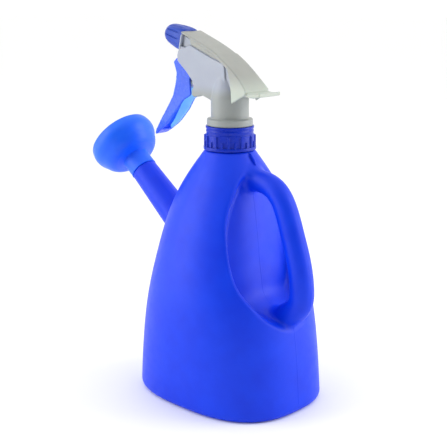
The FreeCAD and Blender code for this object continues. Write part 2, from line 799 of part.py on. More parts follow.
def make_piston():
    """A hollow plunger with a domed front and a grooved head."""
    centre = Vector(0, PLUNGER_FRONT_Y + PLUNGER_R, PUMP_Z)
    stem = rod(PLUNGER_R, centre, Vector(0, PLUNGER_BACK_Y, PUMP_Z))
    nose = Part.makeSphere(PLUNGER_R, centre)
    head = rod(PISTON_R, Vector(0, PLUNGER_BACK_Y - 7.5, PUMP_Z), Vector(0, PLUNGER_BACK_Y, PUMP_Z))
    piston = stem.fuse([nose, head])
    open_end = Vector(0, PLUNGER_BACK_Y + 1, PUMP_Z)
    piston = piston.cut(rod(PLUNGER_BORE_R, Vector(0, SPRING_FRONT_Y, PUMP_Z), open_end))
    for front in (WIPER_Y, SEAL_Y):
        start = Vector(0, front, PUMP_Z)
        end = Vector(0, front + GROOVE_WIDTH, PUMP_Z)
        piston = piston.cut(rod(PISTON_R + 1, start, end).cut(rod(GROOVE_R, start, end)))
    return piston


def piston_ring(front):
    """A square seal ring in one of the plunger's grooves, a sliding fit in the bore."""
    start = Vector(0, front + 0.02, PUMP_Z)
    end = Vector(0, front + GROOVE_WIDTH - 0.02, PUMP_Z)
    return rod(PUMP_BORE_R - SEAL_FIT, start, end).cut(rod(GROOVE_R + 0.02, start, end))


def make_return_spring():
    """Round wire wound about the pump's axis, with its ends on the plunger and on the bore's floor."""
    length = (PUMP_BACK_Y - 0.15 - SPRING_WIRE_R) - (SPRING_FRONT_Y + 0.15 + SPRING_WIRE_R)
    helix = Part.makeHelix(length / SPRING_COILS, length, SPRING_R)
    circle = Part.Circle(Vector(SPRING_R, 0, 0), AXIS_Y, SPRING_WIRE_R)
    coil = Part.Wire(helix.Edges).makePipeShell([Part.Wire(circle.toShape())], True, True)
    coil.rotate(ORIGIN, AXIS_X, -90)
    coil.translate(Vector(0, SPRING_FRONT_Y + 0.15 + SPRING_WIRE_R, PUMP_Z))
    return coil


def make_outlet_ball():
    return seated_ball(RISER_BORE_R, VALVE_SEAT_Z - 1.8, VALVE_SEAT_Z, VALVE_BORE_R)


def make_riser_plug():
    """The plug that closes the valve room at the top. Its stem limits the outlet ball's lift."""
    stem = cylinder(1.2, CORE_TOP_Z - 3.0, CORE_TOP_Z)
    body = cylinder(VALVE_BORE_R - 0.01, CORE_TOP_Z - 1.7, CORE_TOP_Z)
    head = cylinder(PLUG_HEAD_R, CORE_TOP_Z, CORE_TOP_Z + 0.7)
    return body.fuse([stem, head])


# ---------------------------------------------------------------- nozzle


def make_spinner():
    """The swirl core in the nozzle post, with four feed grooves."""
    spinner = cylinder(POST_BORE_R - 0.04, 3.5, POST_LENGTH - 0.2)
    for i in range(4):
        groove = box(POST_BORE_R - 0.7, POST_BORE_R + 1, -0.4, 0.4, 3, POST_LENGTH)
        groove.rotate(ORIGIN, AXIS_Z, 90 * i)
        spinner = spinner.cut(groove)
    return on_nozzle(spinner.fuse(cylinder(1.2, 2.0, 4.0)))


NOZZLE_SECTIONS = [
    (NOZZLE_GAP, 7.3, 3.6),
    (3.0, 7.6, 3.4),
    (8.0, 7.5, 2.8),
    (13.3, 6.9, 2.3),
    (17.0, 6.0, 2.0),
    (18.9, 4.7, 2.0),
    (NOZZLE_LENGTH, 3.6, 2.0),
]
O_RING_T = 8.5
O_RING_GROOVE_R = 5.6


def make_nozzle_cap():
    outside = Part.makeLoft([oval(half, half, n, t) for t, half, n in NOZZLE_SECTIONS], True, True)
    bore = turned(
        [
            (0, -1),
            (POST_R + 0.15, -1),
            (POST_R + 0.15, O_RING_T - 0.7),
            (O_RING_GROOVE_R, O_RING_T - 0.7),
            (O_RING_GROOVE_R, O_RING_T + 0.7),
            (POST_R + 0.15, O_RING_T + 0.7),
            (POST_R + 0.15, POST_LENGTH + 0.15),
            (2.0, POST_LENGTH + 0.15),
            (0.5, POST_LENGTH + 3.0),
            (0.5, NOZZLE_LENGTH - 1.6),
            (2.2, NOZZLE_LENGTH + 0.4),
            (0, NOZZLE_LENGTH + 0.4),
        ]
    )
    return on_nozzle(outside.cut(bore))


def make_nozzle_o_ring():
    radius = (O_RING_GROOVE_R - POST_R) / 2 - 0.02
    return on_nozzle(Part.makeTorus(POST_R + 0.02 + radius, radius, Vector(0, 0, O_RING_T), AXIS_Z))


# ---------------------------------------------------------------- all pieces

PIECES = {
    "bottle": make_bottle,
    "rose_shell": make_rose_shell,
    "rose_face": make_rose_face,
    "closure_cap": make_closure_cap,
    "neck_gasket": make_neck_gasket,
    "tube_retainer": make_tube_retainer,
    "dip_tube": make_dip_tube,
    "inlet_ball": make_inlet_ball,
    "pump_housing": make_pump_housing,
    "shroud": make_shroud,
    "trigger": make_trigger,
    "piston": make_piston,
    "piston_seal": lambda: piston_ring(SEAL_Y),
    "piston_wiper": lambda: piston_ring(WIPER_Y),
    "return_spring": make_return_spring,
    "outlet_ball": make_outlet_ball,
    "riser_plug": make_riser_plug,
    "spinner": make_spinner,
    "nozzle_cap": make_nozzle_cap,
    "nozzle_o_ring": make_nozzle_o_ring,
}

os.makedirs("parts", exist_ok=True)
for piece_name, make_piece in PIECES.items():
    save(piece_name, make_piece())
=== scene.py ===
"""The visual model of the spray bottle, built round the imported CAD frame.

Shapes are worked out in millimetres in the row frame and turned into metres when a mesh is made.
The blow-moulded bottle is the zero level of a distance field, so that its handle, recess and spout
run into the body with moulded fillets. Turned and fluted parts are made ring by ring, and the
sprayer's injection-moulded parts are CAD nodes whose edges are softened.
"""

import json
import math

import bmesh
import bpy
import numpy as np
from mathutils import Matrix, Vector


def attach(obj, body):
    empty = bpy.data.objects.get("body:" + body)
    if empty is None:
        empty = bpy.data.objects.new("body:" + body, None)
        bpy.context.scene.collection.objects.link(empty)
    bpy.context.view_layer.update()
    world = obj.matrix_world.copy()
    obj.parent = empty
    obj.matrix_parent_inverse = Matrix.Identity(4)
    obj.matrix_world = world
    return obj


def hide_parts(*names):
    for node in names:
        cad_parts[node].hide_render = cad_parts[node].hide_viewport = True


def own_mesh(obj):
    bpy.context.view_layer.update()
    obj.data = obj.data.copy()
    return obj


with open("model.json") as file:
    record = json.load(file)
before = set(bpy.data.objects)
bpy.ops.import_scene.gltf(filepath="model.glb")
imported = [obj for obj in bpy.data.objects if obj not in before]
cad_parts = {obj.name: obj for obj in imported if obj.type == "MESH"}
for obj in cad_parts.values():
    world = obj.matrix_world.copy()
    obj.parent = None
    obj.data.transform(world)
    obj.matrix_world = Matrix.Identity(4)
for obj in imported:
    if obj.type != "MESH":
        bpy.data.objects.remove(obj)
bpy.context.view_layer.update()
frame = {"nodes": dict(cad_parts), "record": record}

MM = 0.001

# ---------------------------------------------------------------- camera

CAMERA_AZIMUTH = math.radians(133.408)
CAMERA_DISTANCE = 0.6270
CAMERA_HEIGHT = 0.27135
CAMERA_PITCH = math.radians(14.0)
CAMERA_YAW = math.radians(-0.376)
CAMERA_LENS = 79.176

TO_CAMERA = Vector((math.sin(CAMERA_AZIMUTH), -math.cos(CAMERA_AZIMUTH), 0))
TO_RIGHT = Vector((math.cos(CAMERA_AZIMUTH), math.sin(CAMERA_AZIMUTH), 0))
UP = Vector((0, 0, 1))


def make_camera():
    ahead = math.cos(CAMERA_YAW) * -TO_CAMERA + math.sin(CAMERA_YAW) * TO_RIGHT
    forward = math.cos(CAMERA_PITCH) * ahead - math.sin(CAMERA_PITCH) * UP
    data = bpy.data.cameras.new("camera")
    data.lens = CAMERA_LENS
    data.sensor_width = 36
    data.clip_start = 0.01
    data.clip_end = 20
    camera = bpy.data.objects.new("camera", data)
    camera.location = TO_CAMERA * CAMERA_DISTANCE + UP * CAMERA_HEIGHT
    camera.rotation_mode = "QUATERNION"
    camera.rotation_quaternion = forward.to_track_quat("-Z", "Y")
    bpy.context.scene.collection.objects.link(camera)
    bpy.context.scene.camera = camera


make_camera()

# ---------------------------------------------------------------- studio

SKY_BRIGHT = 1.16
SKY_DARK = 0.06
# cosine of the angle from the view's side at which the doorway begins, and at which it is fully dark
DOORWAY_EDGE = 0.35
DOORWAY_DARK = 0.95
LIGHT_AIM_HEIGHT = 0.12
FLOOR_HALF = 6.0
FLOOR_COLOUR = (0.97, 0.97, 0.965, 1)


def soft_light(name, side, near, height, size, power):
    """A white soft box aimed at the object's middle, placed as the camera sees it, in metres."""
    data = bpy.data.lights.new(name, "AREA")
    data.shape = "RECTANGLE"
    data.size, data.size_y = size
    data.energy = power
    data.color = (1, 1, 1)
    light = bpy.data.objects.new(name, data)
    light.location = TO_RIGHT * side + TO_CAMERA * near + UP * height
    aim = Vector((0, 0, LIGHT_AIM_HEIGHT)) - light.location
    light.rotation_mode = "QUATERNION"
    light.rotation_quaternion = aim.to_track_quat("-Z", "Y")
    bpy.context.scene.collection.objects.link(light)


def make_sky():
    """A white room with a dark doorway on the side that the object is seen from."""
    world = bpy.data.worlds.new("studio")
    world.use_nodes = True
    nodes, links = world.node_tree.nodes, world.node_tree.links
    place = nodes.new("ShaderNodeTexCoord")
    dark = nodes.new("ShaderNodeVectorMath")
    dark.operation = "DOT_PRODUCT"
    dark.inputs[1].default_value = TO_CAMERA
    links.new(place.outputs["Generated"], dark.inputs[0])
    level = nodes.new("ShaderNodeMapRange")
    level.interpolation_type = "SMOOTHSTEP"
    level.inputs["From Min"].default_value = DOORWAY_EDGE
    level.inputs["From Max"].default_value = DOORWAY_DARK
    level.inputs["To Min"].default_value = SKY_BRIGHT
    level.inputs["To Max"].default_value = SKY_DARK
    links.new(dark.outputs["Value"], level.inputs["Value"])
    nodes["Background"].inputs["Color"].default_value = (1, 1, 1, 1)
    links.new(level.outputs["Result"], nodes["Background"].inputs["Strength"])
    return world


def make_studio():
    scene = bpy.context.scene
    scene.view_settings.view_transform = "Standard"
    scene.world = make_sky()
    soft_light("box_left", side=-0.95, near=0.10, height=0.40, size=(0.6, 1.0), power=5.0)
    soft_light("box_right", side=0.95, near=0.00, height=0.40, size=(0.6, 1.0), power=5.5)
    mesh = bpy.data.meshes.new("floor")
    corners = [(x * FLOOR_HALF, y * FLOOR_HALF, 0) for x, y in ((-1, -1), (1, -1), (1, 1), (-1, 1))]
    mesh.from_pydata(corners, [], [(0, 1, 2, 3)])
    floor = bpy.data.objects.new("floor", mesh)
    scene.collection.objects.link(floor)
    material = bpy.data.materials.new("floor")
    material.use_nodes = True
    shader = material.node_tree.nodes["Principled BSDF"]
    shader.inputs["Base Color"].default_value = FLOOR_COLOUR
    shader.inputs["Roughness"].default_value = 0.8
    mesh.materials.append(material)


make_studio()

# ---------------------------------------------------------------- materials


def srgb(r, g, b):
    """A colour given as 0 to 255 display values, as linear light."""
    channels = []
    for value in (r, g, b):
        c = value / 255
        channels.append(c / 12.92 if c <= 0.04045 else ((c + 0.055) / 1.055) ** 2.4)
    return (*channels, 1.0)


# noise scales are in waves a metre, depths in metres
FLOW_SCALE = 60.0
SWELL_SCALE = 90.0
SWELL_DEPTH = 0.00006


def plastic(
    name,
    colour,
    deep,
    roughness,
    grain=900.0,
    grain_depth=0.00002,
    subsurface=0.0,
    reach=0.001,
    metallic=0.0,
    specular=0.35,
    painted_light_by_height=None,
):
    """Moulded plastic: slow colour drift, uneven gloss, a fine moulded grain and a faint swell.

    painted_light_by_height is (colour, low, high): painted light and shade by height; the plastic turns into
    that colour from height high down to low.
    """
    material = bpy.data.materials.new(name)
    material.use_nodes = True
    tree = material.node_tree
    nodes, links = tree.nodes, tree.links
    shader = nodes["Principled BSDF"]
    place = nodes.new("ShaderNodeTexCoord")

    def noise(scale, detail, rough=0.5):
        node = nodes.new("ShaderNodeTexNoise")
        node.inputs["Scale"].default_value = scale
        node.inputs["Detail"].default_value = detail
        node.inputs["Roughness"].default_value = rough
        links.new(place.outputs["Object"], node.inputs["Vector"])
        return node.outputs["Fac"]

    def span(value, low, high):
        node = nodes.new("ShaderNodeMapRange")
        node.inputs["From Min"].default_value = 0.3
        node.inputs["From Max"].default_value = 0.7
        node.inputs["To Min"].default_value = low
        node.inputs["To Max"].default_value = high
        links.new(value, node.inputs["Value"])
        return node.outputs["Result"]

    def bump(height, distance, normal=None):
        node = nodes.new("ShaderNodeBump")
        node.inputs["Strength"].default_value = 1.0
        node.inputs["Distance"].default_value = distance
        links.new(height, node.inputs["Height"])
        if normal is not None:
            links.new(normal, node.inputs["Normal"])
        return node.outputs["Normal"]

    mix = nodes.new("ShaderNodeMix")
    mix.data_type = "RGBA"
    mix.inputs["A"].default_value = colour
    mix.inputs["B"].default_value = deep
    links.new(span(noise(FLOW_SCALE, 4.0), 0.0, 1.0), mix.inputs["Factor"])
    result = mix.outputs["Result"]
    # painted light and shade: the colour changes with height to stand in for how light falls, not for a
    # colour of the plastic
    if painted_light_by_height is not None:
        painted_light_colour, low, high = painted_light_by_height
        parts = nodes.new("ShaderNodeSeparateXYZ")
        links.new(place.outputs["Object"], parts.inputs["Vector"])
        fall = nodes.new("ShaderNodeMapRange")
        fall.interpolation_type = "SMOOTHSTEP"
        fall.inputs["From Min"].default_value = low * MM
        fall.inputs["From Max"].default_value = high * MM
        links.new(parts.outputs["Z"], fall.inputs["Value"])
        lower = nodes.new("ShaderNodeMix")
        lower.data_type = "RGBA"
        lower.inputs["A"].default_value = painted_light_colour
        links.new(fall.outputs["Result"], lower.inputs["Factor"])
        links.new(result, lower.inputs["B"])
        result = lower.outputs["Result"]
    links.new(result, shader.inputs["Base Color"])
    patches = noise(grain * 0.2, 5.0, 0.6)
    links.new(span(patches, roughness - 0.05, roughness + 0.06), shader.inputs["Roughness"])
    swollen = bump(noise(SWELL_SCALE, 2.0), SWELL_DEPTH)
    links.new(bump(noise(grain, 3.0), grain_depth, swollen), shader.inputs["Normal"])
    shader.inputs["IOR"].default_value = 1.5
    shader.inputs["Specular IOR Level"].default_value = specular
    shader.inputs["Metallic"].default_value = metallic
    if subsurface:
        shader.inputs["Subsurface Weight"].default_value = subsurface
        shader.inputs["Subsurface Radius"].default_value = (1.0, 2.0, 4.0)
        shader.inputs["Subsurface Scale"].default_value = reach
    return material


BOTTLE = plastic("bottle_pe", srgb(3, 62, 232), srgb(2, 54, 222), 0.42, subsurface=0.12, specular=0.26)
ROSE = plastic("rose_pe", srgb(26, 110, 255), srgb(20, 100, 252), 0.40, subsurface=0.12)
CLOSURE = plastic("closure_pp", srgb(2, 44, 184), srgb(1, 37, 172), 0.28, specular=0.24)
NOZZLE = plastic("nozzle_pp", srgb(14, 68, 180), srgb(10, 58, 170), 0.34)
TRIGGER = plastic("trigger_pp", srgb(40, 92, 240), srgb(32, 82, 232), 0.26, subsurface=0.4, reach=0.003)
# painted light: paler blue for the inner faces of the trigger's flanges, standing in for thin plastic lit
# from behind
TRIGGER_PAINTED_BACKLIGHT = plastic(
    "trigger_painted_backlight",
    srgb(176, 206, 255),
    srgb(160, 196, 255),
    0.3,
    subsurface=0.5,
    reach=0.004,
)
# painted shade: below height 206 the housing turns darker grey, standing in for the shade on the column
# under the roof
HOUSING = plastic(
    "housing_pp",
    srgb(165, 171, 184),
    srgb(159, 165, 180),
    0.38,
    subsurface=0.1,
    painted_light_by_height=(srgb(151, 156, 155), 198, 206),
)
# painted light: below height 214 the shroud turns paler, standing in for the light on the wings and tab of
# its skirt
SHROUD = plastic(
    "shroud_pp",
    srgb(161, 163, 157),
    srgb(153, 155, 150),
    0.38,
    subsurface=0.1,
    painted_light_by_height=(srgb(184, 192, 181), 202, 214),
)
NATURAL = plastic("natural_pe", srgb(226, 228, 226), srgb(218, 221, 219), 0.45, subsurface=0.2)
TUBE = plastic("tube_pe", srgb(232, 234, 232), srgb(222, 226, 224), 0.30, subsurface=0.4)
FOAM = plastic(
    "gasket_foam",
    srgb(236, 236, 232),
    srgb(222, 222, 216),
    0.85,
    grain=2600.0,
    grain_depth=0.0001,
)
RUBBER = plastic("seal_rubber", srgb(34, 34, 36), srgb(26, 26, 28), 0.6)
STEEL = plastic(
    "steel",
    srgb(205, 206, 208),
    srgb(190, 192, 196),
    0.18,
    grain=3000.0,
    metallic=1.0,
    specular=0.5,
)

NODE_MATERIALS = {
    "bottle": BOTTLE,
    "rose_shell": ROSE,
    "rose_face": ROSE,
    "closure_cap": CLOSURE,
    "neck_gasket": FOAM,
    "tube_retainer": NATURAL,
    "dip_tube": TUBE,
    "inlet_ball": STEEL,
    "pump_housing": HOUSING,
    "shroud": SHROUD,
    "trigger": TRIGGER,
    "piston": NATURAL,
    "piston_seal": RUBBER,
    "piston_wiper": RUBBER,
    "return_spring": STEEL,
    "outlet_ball": STEEL,
    "riser_plug": NATURAL,
    "spinner": NATURAL,
    "nozzle_cap": NOZZLE,
    "nozzle_o_ring": RUBBER,
}


def paint(obj, material):
    """Gives the whole object one material."""
    obj.data.materials.clear()
    obj.data.materials.append(material)


for node_name, node_material in NODE_MATERIALS.items():
    paint(frame["nodes"][node_name], node_material)

# ---------------------------------------------------------------- curves and distance fields


def smooth_curve(xs, ys):
    """A natural cubic spline through the points, as a function."""
    xs = np.asarray(xs, float)
    ys = np.asarray(ys, float)
    count = len(xs)
    gaps = np.diff(xs)
    system = np.zeros((count, count))
    right = np.zeros(count)
    system[0, 0] = system[-1, -1] = 1
    for i in range(1, count - 1):
        system[i, i - 1 : i + 2] = gaps[i - 1], 2 * (gaps[i - 1] + gaps[i]), gaps[i]
        right[i] = 6 * ((ys[i + 1] - ys[i]) / gaps[i] - (ys[i] - ys[i - 1]) / gaps[i - 1])
    bend = np.linalg.solve(system, right)

    def value(x):
        x = np.clip(x, xs[0], xs[-1])
        i = np.clip(np.searchsorted(xs, x) - 1, 0, count - 2)
        before, after, gap = x - xs[i], xs[i + 1] - x, gaps[i]
        return (
            (bend[i] * after**3 + bend[i + 1] * before**3) / (6 * gap)
            + (ys[i] / gap - bend[i] * gap / 6) * after
            + (ys[i + 1] / gap - bend[i + 1] * gap / 6) * before
        )

    return value


def smooth_path(points, count):
    """Points along a smooth curve through the given ones."""
    points = np.asarray(points, float)
    steps = np.hypot(*np.diff(points, axis=0).T)
    along = np.concatenate([[0], np.cumsum(steps)])
    at = np.linspace(0, along[-1], count)
    return np.stack([smooth_curve(along, points[:, k])(at) for k in range(points.shape[1])], axis=1)


def to_path(u, v, path):
    """Distance from (u, v) to a broken line, and how far along it the nearest point lies, 0 to 1."""
    best = np.full(np.shape(u), np.inf)
    share = np.zeros(np.shape(u))
    total = len(path) - 1
    for i, (start, end) in enumerate(zip(path, path[1:])):
        du, dv = end - start
        t = np.clip(((u - start[0]) * du + (v - start[1]) * dv) / (du * du + dv * dv), 0, 1)
        gap = np.hypot(u - start[0] - t * du, v - start[1] - t * dv)
        nearer = gap < best
        best = np.where(nearer, gap, best)
        share = np.where(nearer, (i + t) / total, share)
    return best, share


def inside_loop(u, v, loop):
    """True where (u, v) lies inside a closed outline."""
    crossings = np.zeros(np.shape(u), bool)
    for start, end in zip(loop, np.roll(loop, -1, axis=0)):
        spans = (start[1] > v) != (end[1] > v)
        rise = end[1] - start[1] if end[1] != start[1] else 1e-9
        crossings ^= spans & (u < (end[0] - start[0]) * (v - start[1]) / rise + start[0])
    return crossings


class Table:
    """A function of two coordinates, worked out on a grid once and read by bilinear interpolation."""

    def __init__(self, function, low, high, step):
        self.low = low
        self.step = step
        self.shape = [int((b - a) / step) + 2 for a, b in zip(low, high)]
        u = low[0] + step * np.arange(self.shape[0])[:, None]
        v = low[1] + step * np.arange(self.shape[1])[None, :]
        u, v = np.broadcast_arrays(u, v)
        self.values = function(u, v)

    def __call__(self, u, v):
        a = np.clip((u - self.low[0]) / self.step, 0, self.shape[0] - 1.001)
        b = np.clip((v - self.low[1]) / self.step, 0, self.shape[1] - 1.001)
        i, j = a.astype(int), b.astype(int)
        a, b = a - i, b - j
        w = self.values
        return (
            w[i, j] * (1 - a) * (1 - b)
            + w[i + 1, j] * a * (1 - b)
            + w[i, j + 1] * (1 - a) * b
            + w[i + 1, j + 1] * a * b
        )


def join(a, b, fillet):
    """Union of two distance fields with a round fillet between them."""
    corner = np.hypot(np.maximum(fillet - a, 0), np.maximum(fillet - b, 0))
    return np.maximum(fillet, np.minimum(a, b)) - corner


def overlap(a, b, edge):
    """Intersection of two distance fields with a round edge."""
    corner = np.hypot(np.maximum(edge + a, 0), np.maximum(edge + b, 0))
    return np.minimum(-edge, np.maximum(a, b)) + corner


def without(a, b, edge):
    """a less b, with a round edge."""
    return overlap(a, -b, edge)


def ramp(x, low, high):
    """0 below low, 1 above high, smooth between."""
    t = np.clip((x - low) / (high - low), 0, 1)
    return t * t * (3 - 2 * t)


SURFACE_PULLS = 4
PULL_REACH = 0.8
SLOPE_STEP = 0.05
MIN_STEEPNESS = 0.05


def level_surface(field, low, high, step):
    """The zero level of a distance field, as vertices on it and quads between them."""
    axes = [np.arange(a, b + step, step) for a, b in zip(low, high)]
    x, y, z = np.meshgrid(*axes, indexing="ij")
    f = field(x.ravel(), y.ravel(), z.ravel()).reshape(x.shape)
    inside = f < 0
    cells = [n - 1 for n in f.shape]
    size = cells[0] * cells[1] * cells[2]
    count = np.zeros(size)
    sums = np.zeros((size, 3))
    quads = []
    for axis in range(3):
        first = [slice(None)] * 3
        second = [slice(None)] * 3
        first[axis], second[axis] = slice(None, -1), slice(1, None)
        f0, f1 = f[tuple(first)], f[tuple(second)]
        edge = np.argwhere(inside[tuple(first)] != inside[tuple(second)])
        a, b = f0[tuple(edge.T)], f1[tuple(edge.T)]
        crossing = edge.astype(float)
        crossing[:, axis] += a / (a - b)
        u, v = (axis + 1) % 3, (axis + 2) % 3
        around = []
        for du, dv in ((0, 0), (-1, 0), (-1, -1), (0, -1)):
            cell = edge.copy()
            cell[:, u] += du
            cell[:, v] += dv
            index = (cell[:, 0] * cells[1] + cell[:, 1]) * cells[2] + cell[:, 2]
            around.append(index)
            count += np.bincount(index, minlength=size)
            for k in range(3):
                sums[:, k] += np.bincount(index, crossing[:, k], minlength=size)
        quad = np.stack(around, axis=1)
        outward = a < 0
        quads.append(np.where(outward[:, None], quad, quad[:, ::-1]))
    used = np.flatnonzero(count)
    number = np.full(size, -1)
    number[used] = np.arange(len(used))
    points = sums[used] / count[used, None] * step + np.array([axis[0] for axis in axes])
    for _ in range(SURFACE_PULLS):
        points = pulled(field, points)
    return points, number[np.concatenate(quads)]


def pulled(field, points):
    """The points moved onto the zero level along the field's slope."""
    e = SLOPE_STEP
    x, y, z = points.T
    value = field(x, y, z)
    slope = np.stack(
        [
            field(x + e, y, z) - field(x - e, y, z),
            field(x, y + e, z) - field(x, y - e, z),
            field(x, y, z + e) - field(x, y, z - e),
        ],
        axis=1,
    ) / (2 * e)
    steepness = np.maximum((slope**2).sum(axis=1), MIN_STEEPNESS)
    move = value[:, None] * slope / steepness[:, None]
    length = np.maximum(np.linalg.norm(move, axis=1, keepdims=True), 1e-9)
    return points - move * np.minimum(1, PULL_REACH / length)


# ---------------------------------------------------------------- mesh making


def mesh_object(name, points, faces, material):
    """A smooth-shaded mesh from points in millimetres."""
    mesh = bpy.data.meshes.new(name)
    faces = faces.tolist() if isinstance(faces, np.ndarray) else faces
    mesh.from_pydata((np.asarray(points) * MM).tolist(), [], faces)
    mesh.validate()
    turned_out = bmesh.new()
    turned_out.from_mesh(mesh)
    bmesh.ops.recalc_face_normals(turned_out, faces=turned_out.faces)
    turned_out.to_mesh(mesh)
    turned_out.free()
    mesh.shade_smooth()
    mesh.materials.append(material)
    obj = bpy.data.objects.new(name, mesh)
    bpy.context.scene.collection.objects.link(obj)
    return obj


def stacked(rings):
    """Rings of points joined in order, closed at both ends by flat caps."""
    count, last = len(rings[0]), len(rings) - 1
    faces = grid_faces(len(rings), count, False).tolist()
    faces.append(list(range(count)))
    faces.append(list(range(last * count, (last + 1) * count))[::-1])
    return np.concatenate(rings), faces


def stand_for(obj, node):
    """The piece rides with the node's body and is shown in its place, where the node is hidden."""
    bodies = frame["record"]["behaviour"]["bodies"]
    body = next(name for name, nodes in bodies.items() if node in nodes)
    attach(obj, body)
    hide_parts(node)
    return obj


def grid_faces(rows, columns, rows_closed):
    """Quads of a grid whose columns close on themselves, and whose rows may."""
    faces = []
    for i in range(rows if rows_closed else rows - 1):
        below = (i + 1) % rows
        here = np.arange(columns)
        there = (here + 1) % columns
        top, low = i * columns, below * columns
        faces.append(np.stack([top + here, top + there, low + there, low + here], axis=1))
    return np.concatenate(faces)


# half the angle at a point that counts as straight, and the most of an edge that a corner may take
STRAIGHT_HALF_ANGLE = math.radians(87)
MAX_CORNER_SHARE = 0.45


def rounded_profile(profile, radius, steps=4):
    """A closed profile whose corners are rounded; a corner may give its own radius as a third number."""
    points = [np.array(p[:2], float) for p in profile]
    radii = [p[2] if len(p) > 2 else radius for p in profile]
    out = []
    count = len(points)
    for i, corner in enumerate(points):
        before = points[i - 1] - corner
        after = points[(i + 1) % count] - corner
        lengths = np.linalg.norm(before), np.linalg.norm(after)
        before, after = before / lengths[0], after / lengths[1]
        half = math.acos(max(-1, min(1, float(before @ after)))) / 2
        if half > STRAIGHT_HALF_ANGLE or radii[i] <= 0:
            out.append(corner)
            continue
        reach = min(radii[i] / math.tan(half), MAX_CORNER_SHARE * min(lengths))
        start, end = corner + before * reach, corner + after * reach
        for k in range(steps + 1):
            t = k / steps
            out.append((1 - t) ** 2 * start + 2 * t * (1 - t) * corner + t**2 * end)
    return np.array(out)


def turned(profile, columns, shape=None):
    """A closed (radius, height) profile turned about +Z.

    shape(angle, height, radius) may give each point another radius.
    """
    profile = np.asarray(profile, float)
    angle = np.linspace(0, 2 * math.pi, columns, endpoint=False)
    radius = np.repeat(profile[:, :1], columns, axis=1)
    height = np.repeat(profile[:, 1:2], columns, axis=1)
    if shape is not None:
        radius = shape(np.broadcast_to(angle, radius.shape), height, radius)
    points = np.stack([radius * np.cos(angle), radius * np.sin(angle), height], axis=2).reshape(-1, 3)
    return points, grid_faces(len(profile), columns, True)


def aimed(points, y, z, angle):
    """Points made about +Z, moved so that the axis leaves (y, z) towards -Y, angle above the ground."""
    turn = np.array(Matrix.Rotation(math.radians(90 - angle), 3, "X"))
    return points @ turn.T + np.array([0, y, z])


def merged(*parts):
    """Several (points, faces) as one."""
    points, faces, start = [], [], 0
    for p, f in parts:
        points.append(p)
        faces.extend([tuple(int(k) + start for k in face) for face in f])
        start += len(p)
    return np.concatenate(points), faces


# ---------------------------------------------------------------- bottle

# height, half length along Y, half width along X, superellipse exponent
BODY_PROFILE = np.array(
    [
        (0.0, 61.7, 49.0, 2.65),
        (40.0, 58.6, 50.6, 2.4),
        (70.0, 54.0, 49.4, 2.28),
        (100.0, 47.4, 44.2, 2.15),
        (130.0, 37.8, 35.1, 2.1),
        (150.0, 26.8, 25.3, 2.05),
        (164.6, 16.1, 16.1, 2.0),
    ]
)
BODY_TOP_Z = 164.6
BODY_TOP_EDGE_R = 0.8
BOTTOM_EDGE_R = 4.5
FOOT_RING = 9.0
FOOT_RECESS = 3.0
FOOT_RECESS_EDGE_R = 1.2
HALF_LENGTH, HALF_WIDTH, EXPONENT = (
    smooth_curve(BODY_PROFILE[:, 0], BODY_PROFILE[:, k]) for k in (1, 2, 3)
)

# recess: height, floor on the mirror plane, half width
RECESS = np.array(
    [
        (54.5, 56.5, 3.0),
        (57.5, 53.5, 10.5),
        (62.4, 46.5, 17.7),
        (67.7, 37.5, 23.6),
        (73.8, 31.0, 28.0),
        (79.6, 29.2, 31.3),
        (86.3, 28.2, 33.4),
        (94.6, 26.9, 34.0),
        (103.5, 25.9, 33.5),
        (112.3, 24.8, 32.3),
        (121.0, 23.6, 30.5),
        (129.7, 22.3, 27.6),
        (142.5, 20.0, 19.6),
        (149.0, 18.8, 13.5),
        (153.5, 18.0, 6.0),
    ]
)
RECESS_FLOOR_R = 160.0
RECESS_CORNER_R = 5.0
RECESS_EDGE_R = 4.0
EDGE_INSET = 1.8
# the recess's edge and the handle's fillet grow between these heights
TOP_LOW_Z = 135.0
TOP_HIGH_Z = 150.0

HANDLE_LINE = [
    (8.0, 151.5),
    (19.0, 147.8),
    (29.6, 146.9),
    (40.2, 142.6),
    (47.6, 132.6),
    (53.4, 117.5),
    (58.7, 101.5),
    (61.8, 84.5),
    (60.6, 73.0),
    (52.0, 64.5),
    (40.0, 56.0),
]
HANDLE_TOP_R = 6.9
HANDLE_LOW_R = 8.1
HANDLE_FILLET_R = 3.0
HANDLE_FILLET_GROWTH = 1.5

SPOUT_POINT = (-85.6, 141.9)
SPOUT_ANGLE = 39.1
SPOUT_R = 9.2
SPOUT_TAPER = 0.035
SPOUT_JOINT_T = -3.0
SPOUT_ROOT_T = -60.0
SPOUT_END_EDGE_R = 0.5
SPOUT_FILLET_R = 1.0
SPIGOT_R = 7.9
SPIGOT_BORE_R = 6.7
SPIGOT_END_T = 7.5

NECK_ROOT_R = 12.45
NECK_CREST_R = 13.7
NECK_BORE_R = 10.75
NECK_START_Z = 160.0
NECK_TOP_Z = 176.3
THREAD_PITCH = 4.233
THREAD_START_Z = 167.6
THREAD_TURNS = 1.4
THREAD_SINK = 0.4
THREAD_ROOT_HALF = 1.3
THREAD_CREST_HALF = 0.5
THREAD_FADE_STEPS = 10

# pinched-off tail: outline on the mirror plane and half thickness
WEB_OUTLINE = [
    (14.5, 164.0),
    (18.6, 163.8),
    (21.6, 160.4),
    (23.0, 157.4),
    (22.2, 154.8),
    (18.0, 153.0),
]
WEB_HALF = 0.6

# corners and step of the grid on which the bottle's field is read, and step of its side-view tables
BOTTLE_GRID_LOW = (-53, -86, -2)
BOTTLE_GRID_HIGH = (53, 73, 166)
BOTTLE_STEP = 0.95
TABLE_STEP = 0.5

SEAM_HALF = 0.35
SEAM_HEIGHT = 0.16
SEAM_FROM_Z = 6.0


